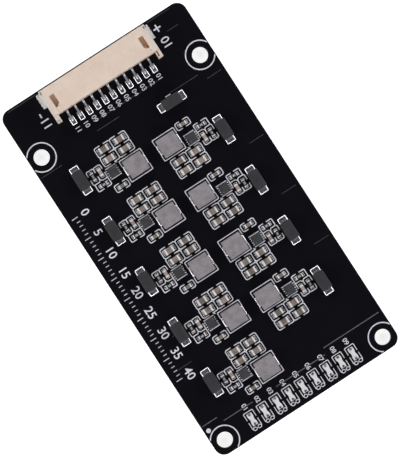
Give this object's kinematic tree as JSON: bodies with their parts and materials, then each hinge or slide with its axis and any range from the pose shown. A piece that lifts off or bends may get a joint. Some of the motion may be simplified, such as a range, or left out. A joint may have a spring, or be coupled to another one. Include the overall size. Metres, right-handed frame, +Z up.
{
  "type": "battery equalizer board",
  "caption": "Rectangular circuit board with balancing cells, side diodes, a lamp row at one end and a side-entry connector at the other.",
  "frame": {"origin": "centre of the board's underside", "axes": "+Z up out of the component side, +Y from the connector edge to the lamp edge, +X to the right seen from above"},
  "size_m": [0.045, 0.085, 0.0065],
  "materials": {
    "solder_mask": "black solder mask, semi-gloss",
    "silkscreen": "white printed ink",
    "solder": "bright tin solder",
    "powder_core": "pressed powder, matt grey",
    "chip_epoxy": "moulded epoxy",
    "brown_ceramic": "fired ceramic, satin",
    "tan_ceramic": "fired ceramic, satin",
    "resistor_glaze": "black glaze",
    "diode_epoxy": "moulded epoxy",
    "lamp_lens": "milky clear resin",
    "connector_nylon": "moulded natural nylon, satin",
    "tinned_metal": "bright tin plate"
  },
  "bodies": {
    "root": {"balancer_chip_1": "chip_epoxy", "balancer_chip_2": "chip_epoxy", "balancer_chip_3": "chip_epoxy", "balancer_chip_4": "chip_epoxy", "balancer_chip_5": "chip_epoxy", "balancer_chip_6": "chip_epoxy", "balancer_chip_7": "chip_epoxy", "balancer_chip_8": "chip_epoxy", "balancer_chip_9": "chip_epoxy", "bulk_capacitors_1": "brown_ceramic", "bulk_capacitors_2": "brown_ceramic", "bulk_capacitors_3": "brown_ceramic", "bulk_capacitors_4": "brown_ceramic", "bulk_capacitors_5": "brown_ceramic", "bulk_capacitors_6": "brown_ceramic", "bulk_capacitors_7": "brown_ceramic", "bulk_capacitors_8": "brown_ceramic", "bulk_capacitors_9": "brown_ceramic", "circuit_board": "solder_mask", "connector_contacts": "tinned_metal", "connector_housing": "connector_nylon", "connector_tabs": "tinned_metal", "diode_1": "diode_epoxy", "diode_10": "diode_epoxy", "diode_2": "diode_epoxy", "diode_3": "diode_epoxy", "diode_4": "diode_epoxy", "diode_5": "diode_epoxy", "diode_6": "diode_epoxy", "diode_7": "diode_epoxy", "diode_8": "diode_epoxy", "diode_9": "diode_epoxy", "indicator_lamp_1": "lamp_lens", "indicator_lamp_2": "lamp_lens", "indicator_lamp_3": "lamp_lens", "indicator_lamp_4": "lamp_lens", "indicator_lamp_5": "lamp_lens", "indicator_lamp_6": "lamp_lens", "indicator_lamp_7": "lamp_lens", "indicator_lamp_8": "lamp_lens", "indicator_lamp_9": "lamp_lens", "lying_resistors": "resistor_glaze", "power_inductor_1": "powder_core", "power_inductor_2": "powder_core", "power_inductor_3": "powder_core", "power_inductor_4": "powder_core", "power_inductor_5": "powder_core", "power_inductor_6": "powder_core", "power_inductor_7": "powder_core", "power_inductor_8": "powder_core", "power_inductor_9": "powder_core", "solder_lands": "solder", "standing_resistors": "resistor_glaze", "supply_capacitors": "tan_ceramic", "switch_capacitors": "tan_ceramic"}
  },
  "joints": []
}
